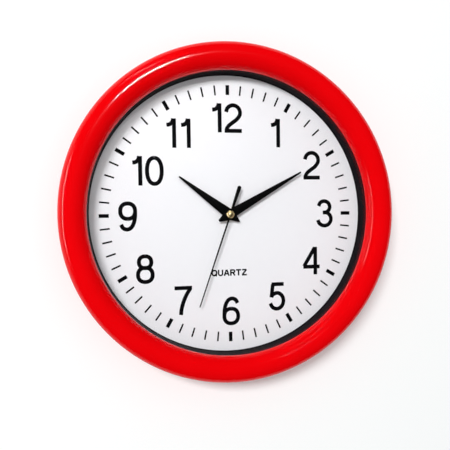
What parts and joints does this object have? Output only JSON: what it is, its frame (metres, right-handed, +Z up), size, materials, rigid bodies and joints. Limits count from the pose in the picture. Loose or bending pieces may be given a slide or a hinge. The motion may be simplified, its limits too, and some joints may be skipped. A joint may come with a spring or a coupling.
{
  "type": "wall clock",
  "caption": "Round battery wall clock with a half-round bezel, flat glass, numbered dial, three hands, a geared quartz movement and a keyhole hanger on the back.",
  "frame": {"origin": "on the hands' axis, in the plane of the wall that the rear rim rests on", "axes": "+Y towards the wall, so the dial looks along -Y; +X to the right as the clock is read; +Z up, towards twelve"},
  "size_m": [0.3, 0.0485, 0.3],
  "materials": {
    "bezel_plastic": "glossy red moulded ABS",
    "window_glass": "clear flat glass",
    "ring_plastic": "glossy black moulded plastic",
    "dial_sheet": "white printed sheet, satin",
    "case_plastic": "black moulded plastic, fine grain",
    "zinc_steel": "bright zinc plate",
    "rubber": "black rubber",
    "brass": "turned brass",
    "movement_plastic": "black moulded plastic",
    "ivory_plastic": "natural acetal",
    "board": "green solder mask",
    "chip_resin": "black epoxy drop",
    "can_steel": "bright drawn can",
    "copper_wire": "enamelled copper wire",
    "pole_steel": "stamped sheet",
    "ferrite": "dark grey sintered magnet",
    "hand_paint": "satin black paint on thin aluminium sheet",
    "knob_plastic": "pale grey moulded plastic",
    "cell_label": "dark printed sleeve"
  },
  "bodies": {
    "case": {"bezel": "bezel_plastic", "glass": "window_glass", "spacer_ring": "ring_plastic", "dial": "dial_sheet", "rear_case": "case_plastic", "case_screws": "zinc_steel", "dial_gasket": "rubber", "fixing_washer": "brass", "fixing_nut": "brass", "movement_case": "movement_plastic", "movement_cover": "movement_plastic", "train_bridge": "ivory_plastic", "circuit_board": "board", "clock_chip": "chip_resin", "quartz_crystal": "can_steel", "coil_bobbin": "ivory_plastic", "coil_winding": "copper_wire", "coil_core": "pole_steel", "stator": "pole_steel", "contact_positive": "zinc_steel", "contact_negative": "zinc_steel"},
    "second_hand_arbor": {"second_wheel": "ivory_plastic", "second_arbor": "zinc_steel", "second_collet": "brass", "second_hand": "hand_paint", "second_cap": "brass"},
    "rotor": {"rotor_magnet": "ferrite", "rotor_pinion": "ivory_plastic"},
    "intermediate_wheel": {"intermediate_wheel": "ivory_plastic"},
    "third_wheel": {"third_wheel": "ivory_plastic"},
    "centre_wheel": {"centre_wheel": "ivory_plastic", "clutch_spring": "zinc_steel"},
    "minute_hand_pipe": {"minute_pipe": "ivory_plastic", "minute_hand": "hand_paint"},
    "motion_wheel": {"motion_wheel": "ivory_plastic", "setting_knob": "knob_plastic"},
    "hour_hand_wheel": {"hour_wheel": "ivory_plastic", "hour_hand": "hand_paint"},
    "battery": {"battery_cell": "cell_label", "battery_cap": "can_steel"}
  },
  "joints": [
    {"name": "second_spin", "type": "hinge", "parent": "case", "child": "second_hand_arbor", "pos_m": [0, 0, 0], "axis": [0, 1, 0], "continuous": true},
    {"name": "rotor_spin", "type": "hinge", "parent": "case", "child": "rotor", "pos_m": [-0.01056, 0, 0.01129], "axis": [0, 1, 0], "continuous": true},
    {"name": "intermediate_spin", "type": "hinge", "parent": "case", "child": "intermediate_wheel", "pos_m": [-0.0045, 0, 0.00779], "axis": [0, 1, 0], "continuous": true},
    {"name": "third_spin", "type": "hinge", "parent": "case", "child": "third_wheel", "pos_m": [0.00708, 0, 0.00496], "axis": [0, 1, 0], "continuous": true},
    {"name": "centre_spin", "type": "hinge", "parent": "case", "child": "centre_wheel", "pos_m": [0, 0, 0], "axis": [0, 1, 0], "continuous": true},
    {"name": "minute_spin", "type": "hinge", "parent": "case", "child": "minute_hand_pipe", "pos_m": [0, 0, 0], "axis": [0, 1, 0], "continuous": true},
    {"name": "motion_spin", "type": "hinge", "parent": "case", "child": "motion_wheel", "pos_m": [-0.0096, 0, 0], "axis": [0, 1, 0], "continuous": true},
    {"name": "hour_spin", "type": "hinge", "parent": "case", "child": "hour_hand_wheel", "pos_m": [0, 0, 0], "axis": [0, 1, 0], "continuous": true},
    {"name": "battery_slide", "type": "slide", "parent": "case", "child": "battery", "axis": [0, 1, 0], "range_m": [0, 0.02]}
  ],
  "couplings": [
    {"joint": "rotor_spin", "follows": "second_spin", "ratio": 30},
    {"joint": "intermediate_spin", "follows": "second_spin", "ratio": -5},
    {"joint": "third_spin", "follows": "second_spin", "ratio": -0.13333},
    {"joint": "centre_spin", "follows": "second_spin", "ratio": 0.016667},
    {"joint": "motion_spin", "follows": "minute_spin", "ratio": -0.33333},
    {"joint": "hour_spin", "follows": "minute_spin", "ratio": 0.083333}
  ]
}
